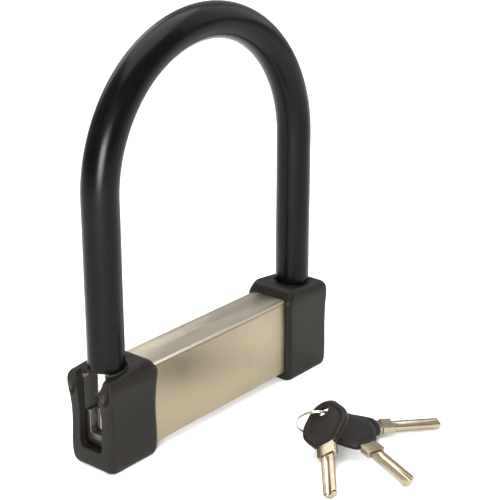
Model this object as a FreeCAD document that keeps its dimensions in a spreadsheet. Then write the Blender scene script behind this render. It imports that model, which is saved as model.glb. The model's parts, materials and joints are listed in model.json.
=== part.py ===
"""A shackle lock ("u lock"): a steel shackle in a black sleeve that plugs into a stainless steel crossbar.

Frame: X along the crossbar, Z up the shackle's legs, Y through the lock, front at -Y. The origin is the
middle of the keyhole's mouth, on the crossbar's underside. The two end caps stand 4.9 mm below it.
Every length is in millimetres and comes from the sheet "dims".
"""
import FreeCAD, Part
import math
import os
import Sketcher

V = FreeCAD.Vector
doc = FreeCAD.newDocument("u_lock")
sheet = doc.addObject("Spreadsheet::Sheet", "dims")


# ---------------------------------------------------------------- sizes that stay tied to the sheet

class Size:
    """A length together with the sheet expression that gives it."""

    def __init__(self, text, value):
        self.text = text
        self.value = value

    def __add__(self, other):
        other = as_size(other)
        return Size(f"({self.text} + {other.text})", self.value + other.value)

    def __sub__(self, other):
        other = as_size(other)
        return Size(f"({self.text} - {other.text})", self.value - other.value)

    def __mul__(self, factor):
        return Size(f"({self.text} * {factor})", self.value * factor)

    def __rsub__(self, other):
        return as_size(other) - self

    def __neg__(self):
        return Size(f"(0 - {self.text})", -self.value)

    __radd__ = __add__
    __rmul__ = __mul__


def as_size(number):
    """Pass a Size through, and turn a plain number into one."""
    return number if isinstance(number, Size) else Size(str(number), number)


def fill_sheet(rows):
    """Write name, value and note to the sheet, and give back the sizes by name."""
    sizes = {}
    for row, (name, value, note) in enumerate(rows, start=1):
        sheet.set(f"A{row}", name)
        sheet.set(f"B{row}", str(value))
        sheet.set(f"C{row}", note)
        sheet.setAlias(f"B{row}", name)
        sizes[name] = Size(f"dims.{name}", value)
    return sizes


d = fill_sheet([
    ("leg_half", 81.25, "middle of the lock to the axis of each leg"),
    ("arc_height", 145.9, "centre of the shackle's half circle"),
    ("rod_radius", 8, "hardened bar of the shackle"),
    ("sleeve_radius", 10.4, "outside of the vinyl sleeve"),
    ("sleeve_bore", 8.05, "inside of the vinyl sleeve"),
    ("sleeve_low", 52.3, "lower end of the sleeve"),
    ("shoulder_height", 53.5, "where the bar is turned down to the foot"),
    ("foot_radius", 7, "turned foot of the shackle"),
    ("groove_high", 36.7, "upper wall of the locking groove"),
    ("groove_low", 33.3, "lower wall of the locking groove"),
    ("neck_radius", 4.4, "bottom of the locking groove"),
    ("tip_radius", 6, "foot below the groove"),
    ("tip_low", 15.1, "lower end of the foot"),
    ("tip_bevel", 1.6, "bevel on the lower end of the foot"),
    ("bar_half", 90.5, "half length of the crossbar's tube"),
    ("bar_wide", 26.6, "outside of the tube, front to back"),
    ("bar_tall", 48.6, "outside of the tube, bottom to top"),
    ("bar_wall", 2, "wall of the tube"),
    ("bar_corner", 2.4, "outside corner of the tube"),
    ("notch_half", 8.4, "half width of the notch that lets a foot in"),
    ("cap_inner", 57, "flared inner end of a cap"),
    ("cap_outer", 96.6, "flared outer end of a cap"),
    ("cap_half", 16.7, "flared half width of a cap"),
    ("cap_corner", 5.5, "rounding of a cap's upright corners, seen from above"),
    ("cap_waist", 1, "how far the waist of a cap is drawn in"),
    ("cap_low", -4.9, "the face a cap stands on"),
    ("cap_high", 54.8, "top of a cap, between the leg and its inner end"),
    ("cap_dip", 2.2, "how much lower the top of a cap is at its outer end"),
    ("cap_foot_round", 4, "rounding of a cap's lower and upper edges"),
    ("fit_gap", 0.1, "play between pieces that are screwed or pushed together"),
    ("overrun", 1, "how far a cutting shape runs past the face it cuts"),
    ("cap_wall_start", 90.7, "inside face of a cap's end wall"),
    ("leg_hole", 11, "radius of the leg's hole in a cap"),
    ("slot_half", 8.25, "half width of the slot in the left cap's end wall"),
    ("slot_low", 7.4, "lower edge of that slot"),
    ("slot_round", 2, "rounding of that slot's lower corners"),
    ("slot_flare", 2.1, "how much wider that slot is at its top, on each side"),
    ("guide_inner", 7.8, "inside radius of a leg guide's lowest rib"),
    ("guide_tall", 3, "height of a leg guide above the tube"),
    ("skirt_inner", 8.7, "inside of a leg guide's skirts"),
    ("skirt_outer", 11.2, "outside of these skirts"),
    ("skirt_near", 75, "edge of the skirts beside the bolt"),
    ("skirt_far", 90.2, "edge of the skirts at the tube's end"),
    ("skirt_low", 27.2, "lower edge of the skirts"),
    ("skirt_high", 46.4, "upper edge of the skirts"),
    ("web_inner", 7.4, "inside of the webs that carry the skirts"),
    ("web_outer", 8.2, "outside of these webs, where they pass the tube's notch"),
    ("web_long", 3, "length of these webs along the bar"),
    ("fork_low", 33.6, "underside of the fork bolts"),
    ("fork_thick", 2.8, "thickness of the fork bolts"),
    ("fork_gap", 4.65, "half width of a fork's mouth"),
    ("fork_half", 8.5, "half width of a fork"),
    ("fork_throw", 9.425, "travel of a bolt in a quarter turn of the pinion"),
    ("fork_tip", 5, "retracted fork tip to the leg's axis"),
    ("pitch_radius", 6, "pitch circle of the pinion, twelve teeth of module 1"),
    ("tooth_pitch", 3.14159, "tooth to tooth on the racks"),
    ("tooth_depth", 0.85, "height of a tooth above the pitch line"),
    ("rack_outer", 10.8, "outer edge of a rack"),
    ("inner_half", 11.05, "half width of the blocks inside the tube"),
    ("core_low", 2.1, "underside of the blocks inside the tube"),
    ("block_inner", 64, "inner end of a socket block"),
    ("block_outer", 88.9, "outer end of a socket block"),
    ("block_high", 27, "top of a socket block beside the foot"),
    ("deck_high", 33.2, "deck that the bolts slide on"),
    ("socket_radius", 6.4, "socket for the tip of a foot"),
    ("socket_low", 13.8, "floor of that socket"),
    ("chassis_half", 28, "half length of the chassis"),
    ("housing_radius", 9.5, "outside of the cylinder housing"),
    ("plug_radius", 7, "outside of the turning plug"),
    ("turn_gap", 0.05, "radial clearance round what turns"),
    ("plug_low", 3.15, "entry face of the plug"),
    ("plug_high", 33, "top of the plug, below its tail"),
    ("disc_bore", 5.9, "bore in the plug that holds the discs"),
    ("disc_bore_high", 29.5, "top of that bore"),
    ("disc_radius", 5.8, "detainer disc"),
    ("disc_thick", 1.6, "detainer disc"),
    ("disc_pitch", 2.65, "disc to disc"),
    ("disc_low", 5.1, "underside of the first disc"),
    ("washer_radius", 4.9, "spacer washer"),
    ("keyway_radius", 4.1, "half-round keyway"),
    ("keyway_flat", 1.3, "flat of the keyway from its axis"),
    ("bezel_radius", 8, "keyhole bezel in the tube's wall"),
    ("bezel_bore", 4.3, "keyhole"),
    ("tail_half", 2.5, "half width of the plug's square tail"),
    ("journal_radius", 2.4, "round end of the tail"),
    ("plate_low", 37, "underside of the mechanism cover"),
    ("plate_thick", 2, "thickness of the mechanism cover"),
    ("pivot_place", 14, "keyhole to the dust cover's rivet"),
    ("dust_high", -0.3, "top of the dust cover"),
    ("dust_thick", 1.2, "thickness of the dust cover"),
    ("end_screw_place", 68, "middle of the lock to the screw in each cap"),
    ("end_screw_radius", 2, "shank of an end screw"),
    ("end_screw_head", 4.1, "head of an end screw"),
    ("end_screw_sunk", 0.4, "how deep that head lies in the cap"),
    ("end_screw_tip", 12, "upper end of an end screw"),
    ("chassis_screw_place", 22, "middle of the lock to the chassis screws"),
    ("chassis_screw_radius", 1.5, "shank of a chassis screw"),
    ("chassis_screw_head", 3.2, "countersunk head of a chassis screw"),
    ("screw_depth", 13, "upper end of the threaded holes that open downwards"),
    ("rivet_radius", 1.5, "shank of the dust cover's rivet"),
    ("rivet_head", 3, "head of that rivet"),
    ("rivet_tip", 5, "upper end of that rivet"),
    ("cover_screw_radius", 1, "shank of a mechanism cover's screw"),
    ("cover_screw_head", 2.3, "head of a mechanism cover's screw"),
    ("post_place", 23, "middle of the lock to the cover's posts, along the bar"),
    ("post_side", 8.6, "middle of the lock to the cover's posts, across the bar"),
    ("post_radius", 2.2, "posts that carry the mechanism cover"),
    ("sidebar_half", 0.8, "half width of the sidebar"),
    ("sidebar_inner", 5, "inner face of the sidebar"),
    ("sidebar_outer", 6.9, "outer face of the sidebar"),
    ("sidebar_low", 6.2, "lower end of the sidebar"),
    ("sidebar_high", 27.8, "upper end of the sidebar"),
    ("circlip_low", 30.2, "underside of the circlip"),
    ("circlip_thick", 0.8, "thickness of the circlip"),
    ("circlip_inner", 6.25, "inside radius of the circlip"),
    ("circlip_outer", 8.6, "outside radius of the circlip"),
    ("housing_high", 30, "top of the cylinder housing"),
    ("lid_radius", 9.5, "dust cover round the keyhole"),
    ("ear_radius", 4.6, "dust cover round its rivet"),
    ("collar_half_thick", 1.9, "half thickness of a blade's collar"),
    ("shaft_flat", 1.1, "flat of a key's shaft from its axis"),
    ("tang_half_thick", 1.2, "half thickness of the tang inside a key's head"),
    ("key_thick", 4, "thickness of a key's head"),
    ("head_long", 26.5, "ring hole to the end of a key's head"),
    ("head_back", 7, "ring hole to the back of a key's head"),
    ("head_wide", 29, "width of a key's head"),
    ("ring_hole", 3.9, "radius of the ring's hole in a key's head"),
    ("collar_half", 5.6, "half width of a blade's collar"),
    ("collar_long", 8, "length of that collar"),
    ("key_shaft", 3.9, "radius of a key's half-round shaft"),
    ("key_shaft_long", 28, "length of that shaft"),
    ("ring_radius", 12, "middle of the split ring's wire"),
    ("ring_wire", 0.75, "radius of that wire"),
    ("ring_along", 9.5, "middle of the split ring, along the bar"),
    ("ring_across", -75, "middle of the split ring, in front of the bar"),
])

DISCS = 9
PINION_TEETH = 12
RACK_TEETH = 7
RING_YAW, RING_LEAN = -50, 60
# each key: where its hole sits round the ring, which way it points and how far it is rolled, in degrees
KEYS = {"front_key": (74, -140, 35), "middle_key": (9, -106, 0), "back_key": (-35, -40, 0)}


# ---------------------------------------------------------------- short ways to make bound objects

def bind(thing, prop, size):
    """Tie one property of an object to the sheet."""
    thing.setExpression(prop, as_size(size).text)


def place(thing, spot):
    """Put an object's own origin at a spot given by three sizes."""
    for axis, size in zip("xyz", spot):
        bind(thing, f"Placement.Base.{axis}", size)


def box(name, low, high):
    """A box between two corners."""
    thing = doc.addObject("Part::Box", name)
    for prop, start, end in zip(("Length", "Width", "Height"), low, high):
        bind(thing, prop, as_size(end) - start)
    place(thing, low)
    return thing


def cylinder(name, spot, radius, low, high):
    """An upright cylinder over the spot (x, y), between two heights."""
    thing = doc.addObject("Part::Cylinder", name)
    bind(thing, "Radius", radius)
    bind(thing, "Height", as_size(high) - low)
    place(thing, (*spot, low))
    return thing


def cone(name, spot, radius_low, radius_high, low, high):
    """An upright cone over the spot (x, y), between two heights."""
    thing = doc.addObject("Part::Cone", name)
    bind(thing, "Radius1", radius_low)
    bind(thing, "Radius2", radius_high)
    bind(thing, "Height", as_size(high) - low)
    place(thing, (*spot, low))
    return thing


def fuse(name, parts):
    """Several shapes that touch, as one piece."""
    thing = doc.addObject("Part::MultiFuse", name)
    thing.Shapes = parts
    thing.Refine = True
    return thing


def group(name, parts):
    """Several separate pieces under one name."""
    thing = doc.addObject("Part::Compound", name)
    thing.Links = parts
    return thing


def cut(name, base, *tools):
    """A piece with one or more shapes taken out of it."""
    thing = doc.addObject("Part::Cut", name)
    thing.Base = base
    thing.Tool = tools[0] if len(tools) == 1 else fuse(f"{name}_tools", list(tools))
    thing.Refine = True
    return thing


def new_body(name):
    return doc.addObject("PartDesign::Body", name)


def sketch_on(body, plane, name, height=None):
    """An empty sketch on one of the body's own origin planes, or at a height above it."""
    sketch = body.newObject("Sketcher::SketchObject", name)
    support = [f for f in body.Origin.OriginFeatures if f.Role == plane][0]
    sketch.AttachmentSupport = [(support, "")]
    sketch.MapMode = "FlatFace"
    if height is not None:
        bind(sketch, "AttachmentOffset.Base.z", height)
    return sketch


def pin_down(sketch, geometry, point, spot):
    """Give a sketch point its two coordinates."""
    for kind, size in zip(("DistanceX", "DistanceY"), spot):
        size = as_size(size)
        index = sketch.addConstraint(Sketcher.Constraint(kind, -1, 1, geometry, point, size.value))
        sketch.setExpression(f"Constraints[{index}]", size.text)


def as_vector(spot):
    return V(as_size(spot[0]).value, as_size(spot[1]).value, 0)


def outline(sketch, steps):
    """Close a loop of lines and arcs. A step (x, y) is a line to there from the step before, and
    a step (x, y, via_x, via_y) is an arc to there that passes through the second point."""
    ends = [step[:2] for step in steps]
    indices = []
    for number, step in enumerate(steps):
        start, end = as_vector(ends[number - 1]), as_vector(step)
        if len(step) == 2:
            indices.append(sketch.addGeometry(Part.LineSegment(start, end)))
            continue
        via = as_vector(step[2:])
        arc = sketch.addGeometry(Part.Arc(start, via, end))
        mark = sketch.addGeometry(Part.Point(via), True)
        pin_down(sketch, mark, 1, step[2:])
        sketch.addConstraint(Sketcher.Constraint("PointOnObject", mark, 1, arc))
        indices.append(arc)
    for number, index in enumerate(indices):
        first, last = run_ends(sketch, index, as_vector(ends[number - 1]))
        before = indices[number - 1]
        before_last = run_ends(sketch, before, as_vector(ends[number - 2]))[1]
        sketch.addConstraint(Sketcher.Constraint("Coincident", before, before_last, index, first))
        pin_down(sketch, index, last, ends[number])


def run_ends(sketch, index, start):
    """Which of a run's two ends, 1 or 2, it starts from, and which it goes to."""
    begins = (sketch.getPoint(index, 1) - start).Length
    finishes = (sketch.getPoint(index, 2) - start).Length
    return (1, 2) if begins < finishes else (2, 1)


def circle(sketch, spot, radius):
    index = sketch.addGeometry(Part.Circle(as_vector(spot), V(0, 0, 1), as_size(radius).value))
    pin_down(sketch, index, 3, spot)
    mark = sketch.addConstraint(Sketcher.Constraint("Radius", index, as_size(radius).value))
    sketch.setExpression(f"Constraints[{mark}]", as_size(radius).text)


def rectangle(low, high):
    """The steps of a rectangle's outline."""
    (left, bottom), (right, top) = low, high
    return [(right, bottom), (right, top), (left, top), (left, bottom)]


def rounded_rectangle(low, high, radius):
    """The steps of a rectangle's outline with round corners."""
    bend = radius * (1 - math.sqrt(0.5))
    (left, bottom), (right, top) = low, high
    return [
        (right - radius, bottom),
        (right, bottom + radius, right - bend, bottom + bend),
        (right, top - radius),
        (right - radius, top, right - bend, top - bend),
        (left + radius, top),
        (left, top - radius, left + bend, top - bend),
        (left, bottom + radius),
        (left + radius, bottom, left + bend, bottom + bend),
    ]


def pad(body, sketch, name, length, both_ways=False):
    thing = body.newObject("PartDesign::Pad", name)
    thing.Profile = sketch
    thing.Midplane = both_ways
    bind(thing, "Length", length)
    return thing


def pocket(body, sketch, name, length, both_ways=False, reverse=False):
    """Cut a sketch into the body, and stop if nothing was taken away."""
    doc.recompute()
    before = body.Shape.Volume
    thing = body.newObject("PartDesign::Pocket", name)
    thing.Profile = sketch
    thing.Midplane = both_ways
    thing.Reversed = reverse
    bind(thing, "Length", length)
    doc.recompute()
    if body.Shape.Volume > before - 1e-3:
        raise RuntimeError(f"{name} cuts nothing")
    return thing


def half_turn(thing):
    """Turn a piece about the Z axis to make its twin at the other end."""
    thing.Placement = FreeCAD.Placement(V(0, 0, 0), FreeCAD.Rotation(V(0, 0, 1), 180))


parts = []


def keep(thing, label):
    """Name a finished sub-part."""
    thing.Label = label
    parts.append(thing)
    return thing


# ---------------------------------------------------------------- crossbar

def housing_tube():
    """Rectangular stainless tube, with a notch for each foot and holes in the underside."""
    body = new_body("tube")
    section = sketch_on(body, "YZ_Plane", "tube_section")
    half, wall, corner = d["bar_wide"] * 0.5, d["bar_wall"], d["bar_corner"]
    inside, inside_corner = half - wall, corner * 0.15
    outline(section, rounded_rectangle((-half, as_size(0)), (half, d["bar_tall"]), corner))
    outline(section, rounded_rectangle((-inside, wall), (inside, d["bar_tall"] - wall), inside_corner))
    pad(body, section, "tube_pad", d["bar_half"] * 2, both_ways=True)

    beyond, depth = d["overrun"], wall + d["overrun"] * 1.5
    notches = sketch_on(body, "XY_Plane", "tube_notches", d["bar_tall"] + beyond)
    leg, gap, far = d["leg_half"], d["notch_half"], d["bar_half"] + beyond
    outline(notches, [(far, -gap), (far, gap), (leg, gap), (leg, -gap, leg - gap, as_size(0))])
    outline(notches, [(-far, gap), (-far, -gap), (-leg, -gap), (-leg, gap, gap - leg, as_size(0))])
    pocket(body, notches, "tube_notch_cut", depth)

    holes = sketch_on(body, "XY_Plane", "tube_holes", -beyond)
    circle(holes, (0, 0), d["bezel_radius"] + d["fit_gap"])
    circle(holes, (d["pivot_place"], 0), d["rivet_radius"] + d["fit_gap"])
    for side in (-1, 1):
        circle(holes, (d["end_screw_place"] * side, 0), d["end_screw_radius"] + d["fit_gap"] * 2)
    pocket(body, holes, "tube_hole_cut", depth, reverse=True)

    sinks = [countersunk(f"tube_sink_{number}", d["chassis_screw_place"] * side, d["turn_gap"])
             for number, side in enumerate((-1, 1))]
    keep(cut("tube_done", body, *sinks), "housing_tube")


def countersunk(name, along, play):
    """A countersunk screw in the tube's underside, or its hole when it has play all round."""
    shank, sink = d["chassis_screw_radius"] + play, d["bar_wall"] - d["fit_gap"]
    head = cone(f"{name}_head", (along, 0), d["chassis_screw_head"] + play, shank, -play, sink)
    stem = cylinder(f"{name}_stem", (along, 0), shank, sink * 0.8, d["end_screw_tip"] + play)
    return fuse(name, [head, stem])


def end_cap(label, twin):
    """Moulded cap, drawn in at its waist, that slides over the tube's end. Only the left one is slotted."""
    body = new_body(label)
    low, high, waist, soft = d["cap_low"], d["cap_high"], d["cap_waist"], d["cap_foot_round"]
    inner, outer, middle = d["cap_inner"], d["cap_outer"], (d["cap_low"] + d["cap_high"]) * 0.5
    via = soft * 0.25

    front = sketch_on(body, "XZ_Plane", "front_view")
    end_top = high - d["cap_dip"]
    outline(front, [
        (outer - soft, low),
        (outer, low + soft, outer - via, low + via),
        (outer, end_top - soft, outer - waist, middle),
        (outer - soft, end_top, outer - via, end_top - via),
        (inner + soft * 2, high, outer - soft * 2.5, end_top - via),
        (inner + soft * 0.5, high - soft * 1.15, inner + soft * 1.05, high - soft * 0.35),
        (inner, high - soft * 1.9),
        (inner, low + soft, inner + waist, middle),
        (inner + soft, low, inner + via, low + via),
    ])
    pad(body, front, "cap_block", (d["cap_half"] + soft) * 2, both_ways=True)

    side = sketch_on(body, "YZ_Plane", "side_view")
    half, edge = d["cap_half"], soft * 0.75
    outline(side, [
        (half - edge, low),
        (half, low + soft, half - edge * 0.25, low + via),
        (half, high - soft, half - waist, middle),
        (half - edge, high, half - edge * 0.25, high - via),
        (edge - half, high),
        (-half, high - soft, edge * 0.25 - half, high - via),
        (-half, low + soft, waist - half, middle),
        (edge - half, low, edge * 0.25 - half, low + via),
    ])
    frame = half + soft * 2
    outline(side, rectangle((-frame, low - soft), (frame, high + soft)))
    pocket(body, side, "side_trim", (outer + frame) * 2, both_ways=True)

    plan = sketch_on(body, "XY_Plane", "plan_view", low - d["overrun"])
    rim = d["overrun"]
    outline(plan, rounded_rectangle((inner - rim, -half - rim), (outer + rim, half + rim), d["cap_corner"]))
    outline(plan, rectangle((inner - frame, -frame), (outer + frame, frame)))
    pocket(body, plan, "corner_trim", high - low + rim * 2, reverse=True)

    hollow_cap(body)
    if twin:
        slot_cap(body)
        half_turn(body)
    keep(body, label)


def hollow_cap(body):
    """Cut the tube's seat, the leg's hole and the screw's hole."""
    gap, wall_start, beyond = d["fit_gap"], d["cap_wall_start"], d["overrun"]
    half = d["bar_wide"] * 0.5 + gap
    seat = sketch_on(body, "YZ_Plane", "tube_seat", wall_start)
    outline(seat, rounded_rectangle((-half, -gap), (half, d["bar_tall"] + gap), d["bar_corner"]))
    pocket(body, seat, "tube_seat_cut", wall_start - d["cap_inner"] + beyond)

    leg = sketch_on(body, "XY_Plane", "leg_hole", d["cap_high"] + beyond)
    circle(leg, (d["leg_half"], 0), d["leg_hole"])
    pocket(body, leg, "leg_hole_cut", d["cap_high"] - d["bar_tall"] + beyond * 2)

    screw = sketch_on(body, "XY_Plane", "screw_hole", d["cap_low"] - beyond)
    circle(screw, (d["end_screw_place"], 0), d["end_screw_radius"] + gap * 2)
    pocket(body, screw, "screw_hole_cut", beyond * 1.5 - d["cap_low"], reverse=True)
    recess = sketch_on(body, "XY_Plane", "screw_recess", d["cap_low"] - beyond)
    circle(recess, (d["end_screw_place"], 0), d["end_screw_head"] + gap * 3)
    pocket(body, recess, "screw_recess_cut", beyond + d["end_screw_sunk"] + 2.6, reverse=True)


def slot_cap(body):
    """Cut the slot that shows the foot through the end wall. It is wider at its top."""
    beyond = d["overrun"]
    slot = sketch_on(body, "YZ_Plane", "end_slot", d["cap_outer"] + beyond)
    reach, floor, round_off = d["slot_half"], d["slot_low"], d["slot_round"]
    wide, top = reach + d["slot_flare"], d["cap_high"] + beyond
    flare_low, flare_high = d["cap_high"] - 10, d["cap_high"] - 4.5
    bend = round_off * (1 - math.sqrt(0.5))
    outline(slot, [
        (reach - round_off, floor),
        (reach, floor + round_off, reach - bend, floor + bend),
        (reach, flare_low),
        (wide, flare_high),
        (wide, top),
        (-wide, top),
        (-wide, flare_high),
        (-reach, flare_low),
        (-reach, floor + round_off),
        (round_off - reach, floor, bend - reach, floor + bend),
    ])
    pocket(body, slot, "end_slot_cut", d["cap_outer"] - d["cap_wall_start"] + beyond * 2)


def leg_guide(label, twin):
    """Ribbed collar on the tube, round the foot, with a skirt down each side inside the tube."""
    leg, low, inside, rim = d["leg_half"], d["bar_tall"] + d["fit_gap"], d["guide_inner"], d["leg_hole"]
    high = low + d["guide_tall"] + d["overrun"]
    ring = cylinder(f"{label}_ring", (leg, 0), rim - d["fit_gap"], low, low + d["guide_tall"])
    steps = [cylinder(f"{label}_step_{number}", (leg, 0), inside + 0.6 * number, low + number - 0.1, high)
             for number in range(3)]
    mouth_half = d["web_inner"]
    mouth = box(f"{label}_mouth", (leg, -mouth_half, low - d["overrun"]), (leg + rim, mouth_half, high))
    pieces = [cut(f"{label}_collar", ring, *steps, mouth)]
    for name, turned in (("back", False), ("front", True)):
        pieces += skirt(f"{label}_{name}", turned)
    guide = fuse(f"{label}_done", pieces)
    if twin:
        half_turn(guide)
    keep(guide, label)


def skirt(label, front):
    """The pieces of one skirt: a plate inside the tube, and an angle that carries it through the notch."""
    near, far, low, high = d["skirt_near"], d["skirt_far"], d["skirt_low"], d["skirt_high"]
    inner, outer, web_inner, web_outer = d["skirt_inner"], d["skirt_outer"], d["web_inner"], d["web_outer"]
    web = d["leg_half"] + d["fit_gap"]
    web_end, top = web + d["web_long"], d["bar_tall"] + d["overrun"]
    shelf = high - d["overrun"] * 1.4
    spans = [
        ("plate", near, far, inner, outer, low, high),
        ("shelf", web, web_end, web_inner, inner + 0.5, shelf, high),
        ("web", web, web_end, web_inner, web_outer, shelf, top),
    ]
    pieces = []
    for name, start, end, start_y, end_y, start_z, end_z in spans:
        across = (-end_y, -start_y) if front else (start_y, end_y)
        pieces.append(box(f"{label}_{name}", (start, across[0], start_z), (end, across[1], end_z)))
    return pieces


def socket_block(label, twin):
    """Steel block that holds the tip of a foot and carries the end of a fork bolt."""
    half, low, inner, outer = d["inner_half"], d["core_low"], d["block_inner"], d["block_outer"]
    leg, wide, beyond = d["leg_half"], d["socket_radius"], d["overrun"]
    high, floor = d["block_high"], d["socket_low"]
    base = box(f"{label}_base", (inner, -half, low), (outer, half, high))
    deck = box(f"{label}_deck", (inner, -half, high), (leg - d["foot_radius"] - 2, half, d["deck_high"]))
    socket = cylinder(f"{label}_socket", (leg, 0), wide, floor, high + beyond)
    mouth = box(f"{label}_mouth", (leg, -wide, floor), (outer + beyond, wide, high + beyond))
    thread = cylinder(f"{label}_thread", (d["end_screw_place"], 0), d["end_screw_radius"] + d["turn_gap"],
                      low - beyond, d["screw_depth"])
    block = cut(f"{label}_done", fuse(f"{label}_raw", [base, deck]), socket, mouth, thread)
    if twin:
        half_turn(block)
    keep(block, label)


def end_screws():
    """One socket screw at each end holds the cap, the tube and the socket block together."""
    screws = []
    low = d["cap_low"] + d["end_screw_sunk"]
    high = low + 2.5
    for number, side in enumerate((-1, 1)):
        spot = (d["end_screw_place"] * side, 0)
        head = cylinder(f"end_screw_head_{number}", spot, d["end_screw_head"], low, high)
        shank = cylinder(f"end_screw_shank_{number}", spot, d["end_screw_radius"], high, d["end_screw_tip"])
        drive = hexagon(f"end_screw_drive_{number}", spot, 1.5, low - d["overrun"], high - 0.7)
        screws.append(cut(f"end_screw_{number}", fuse(f"end_screw_raw_{number}", [head, shank]), drive))
    keep(group("end_screw_group", screws), "end_screws")


def hexagon(name, spot, radius, low, high):
    """An upright six-sided prism."""
    thing = doc.addObject("Part::Prism", name)
    thing.Polygon = 6
    bind(thing, "Circumradius", radius)
    bind(thing, "Height", as_size(high) - low)
    place(thing, (*spot, low))
    return thing


# ---------------------------------------------------------------- chassis and cylinder

def post_spots():
    """The two posts under the mechanism cover, beside the racks."""
    return [(d["post_place"] * side, d["post_side"] * side) for side in (-1, 1)]


def chassis():
    """Zinc block in the middle of the tube. It holds the cylinder, and its deck carries the racks."""
    half, long, low, beyond = d["inner_half"], d["chassis_half"], d["core_low"], d["overrun"]
    block = box("chassis_block", (-long, -half, low), (long, half, d["deck_high"]))
    posts = [cylinder(f"chassis_post_{number}", spot, d["post_radius"], d["deck_high"] - beyond, d["plate_low"])
             for number, spot in enumerate(post_spots())]
    bore = cylinder("chassis_bore", (0, 0), d["housing_radius"] + d["fit_gap"], low - beyond,
                    d["deck_high"] + beyond)
    threads = [cylinder(f"chassis_thread_{number}", (d["chassis_screw_place"] * side, 0),
                        d["chassis_screw_radius"] + d["turn_gap"], low - beyond, d["screw_depth"])
               for number, side in enumerate((-1, 1))]
    taps = [cylinder(f"chassis_tap_{number}", spot, d["cover_screw_radius"] + d["turn_gap"],
                     d["plate_low"] - 7, d["plate_low"] + beyond)
            for number, spot in enumerate(post_spots())]
    rivet = cylinder("chassis_rivet_hole", (d["pivot_place"], 0), d["rivet_radius"] + d["turn_gap"],
                     low - beyond, d["rivet_tip"] + beyond)
    raw = fuse("chassis_raw", [block, *posts])
    keep(cut("chassis_done", raw, bore, *threads, *taps, rivet), "lock_chassis")
    screws = [countersunk(f"chassis_screw_{number}", d["chassis_screw_place"] * side, 0)
              for number, side in enumerate((-1, 1))]
    keep(group("chassis_screw_group", screws), "chassis_screws")


def mechanism_cover():
    """Steel plate over the racks and pinion, with its two screws."""
    long, half, low, beyond = d["chassis_half"], d["inner_half"], d["plate_low"], d["overrun"]
    high = low + d["plate_thick"]
    plate = box("cover_plate", (-long, -half, low), (long, half, high))
    journal = cylinder("cover_journal", (0, 0), d["journal_radius"] + d["turn_gap"], low - beyond,
                       high + beyond)
    holes = [cylinder(f"cover_hole_{number}", spot, d["cover_screw_radius"] + d["fit_gap"] * 3,
                      low - beyond, high + beyond)
             for number, spot in enumerate(post_spots())]
    keep(cut("cover_done", plate, journal, *holes), "mechanism_cover")
    screws = []
    reach, slit = d["cover_screw_head"] + 0.7, 0.3
    for number, spot in enumerate(post_spots()):
        head = cylinder(f"cover_screw_head_{number}", spot, d["cover_screw_head"], high, high + 1.5)
        shank = cylinder(f"cover_screw_shank_{number}", spot, d["cover_screw_radius"], low - 6, high)
        drive = box(f"cover_screw_drive_{number}", (spot[0] - reach, spot[1] - slit, high + 0.8),
                    (spot[0] + reach, spot[1] + slit, high + 2))
        screws.append(cut(f"cover_screw_{number}", fuse(f"cover_screw_raw_{number}", [head, shank]), drive))
    keep(group("cover_screw_group", screws), "cover_screws")


def cylinder_housing():
    """Fixed barrel of the lock cylinder, with the sidebar's groove in its bore."""
    low, high, beyond, gap = d["plug_low"] - d["fit_gap"], d["housing_high"], d["overrun"], d["fit_gap"]
    barrel = cylinder("housing_barrel", (0, 0), d["housing_radius"], low, high)
    bore = cylinder("housing_bore", (0, 0), d["plug_radius"] + d["turn_gap"], low - beyond, high + beyond)
    half = d["sidebar_half"] + gap
    groove = box("housing_groove", (-half, d["sidebar_inner"], d["sidebar_low"] - gap),
                 (half, d["plug_radius"] + 1, d["sidebar_high"] + gap * 2))
    keep(cut("housing_done", barrel, bore, groove), "cylinder_housing")


def keyhole_bezel():
    """Stainless bush that lines the keyhole, flush with the tube, flanged inside it."""
    wall, hole = d["bar_wall"], d["bezel_bore"]
    lead = as_size(0.8)
    bush = cylinder("bezel_bush", (0, 0), d["bezel_radius"], as_size(0), wall)
    flange = cylinder("bezel_flange", (0, 0), d["housing_radius"] - d["fit_gap"], wall, wall + 1)
    bore = cylinder("bezel_hole", (0, 0), hole, -d["overrun"], wall + 1 + d["overrun"])
    bevel = cone("bezel_lead", (0, 0), hole + lead, hole, as_size(0), lead)
    keep(cut("bezel_done", fuse("bezel_raw", [bush, flange]), bore, bevel), "keyhole_bezel")


def cylinder_plug():
    """Turning core of the cylinder: a cup for the discs, with a square tail for the pinion."""
    top, tail, beyond, gap = d["plug_high"], d["tail_half"], d["overrun"], d["turn_gap"]
    plate = d["plate_low"]
    barrel = cylinder("plug_barrel", (0, 0), d["plug_radius"], d["plug_low"], top)
    square = box("plug_square", (-tail, -tail, top - beyond), (tail, tail, plate - d["fit_gap"] * 2))
    journal = cylinder("plug_journal", (0, 0), d["journal_radius"], plate - beyond,
                       plate + d["plate_thick"] + d["fit_gap"] * 2)
    bore = cylinder("plug_bore", (0, 0), d["disc_bore"], d["plug_low"] - beyond, d["disc_bore_high"])
    half = d["sidebar_half"] + gap
    slot = box("plug_slot", (-half, d["sidebar_inner"] - 1, d["sidebar_low"] - gap * 4),
               (half, d["plug_radius"] + 1, d["sidebar_high"] + gap * 4))
    clip_low, clip_inner = d["circlip_low"] - gap, d["circlip_inner"] - gap
    clip_high = clip_low + d["circlip_thick"] + gap * 2
    groove = cut("plug_groove", cylinder("groove_outer", (0, 0), d["circlip_outer"], clip_low, clip_high),
                 cylinder("groove_inner", (0, 0), clip_inner, clip_low - beyond, clip_high + beyond))
    keep(cut("plug_done", fuse("plug_raw", [barrel, square, journal]), bore, slot, groove), "cylinder_plug")


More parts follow.
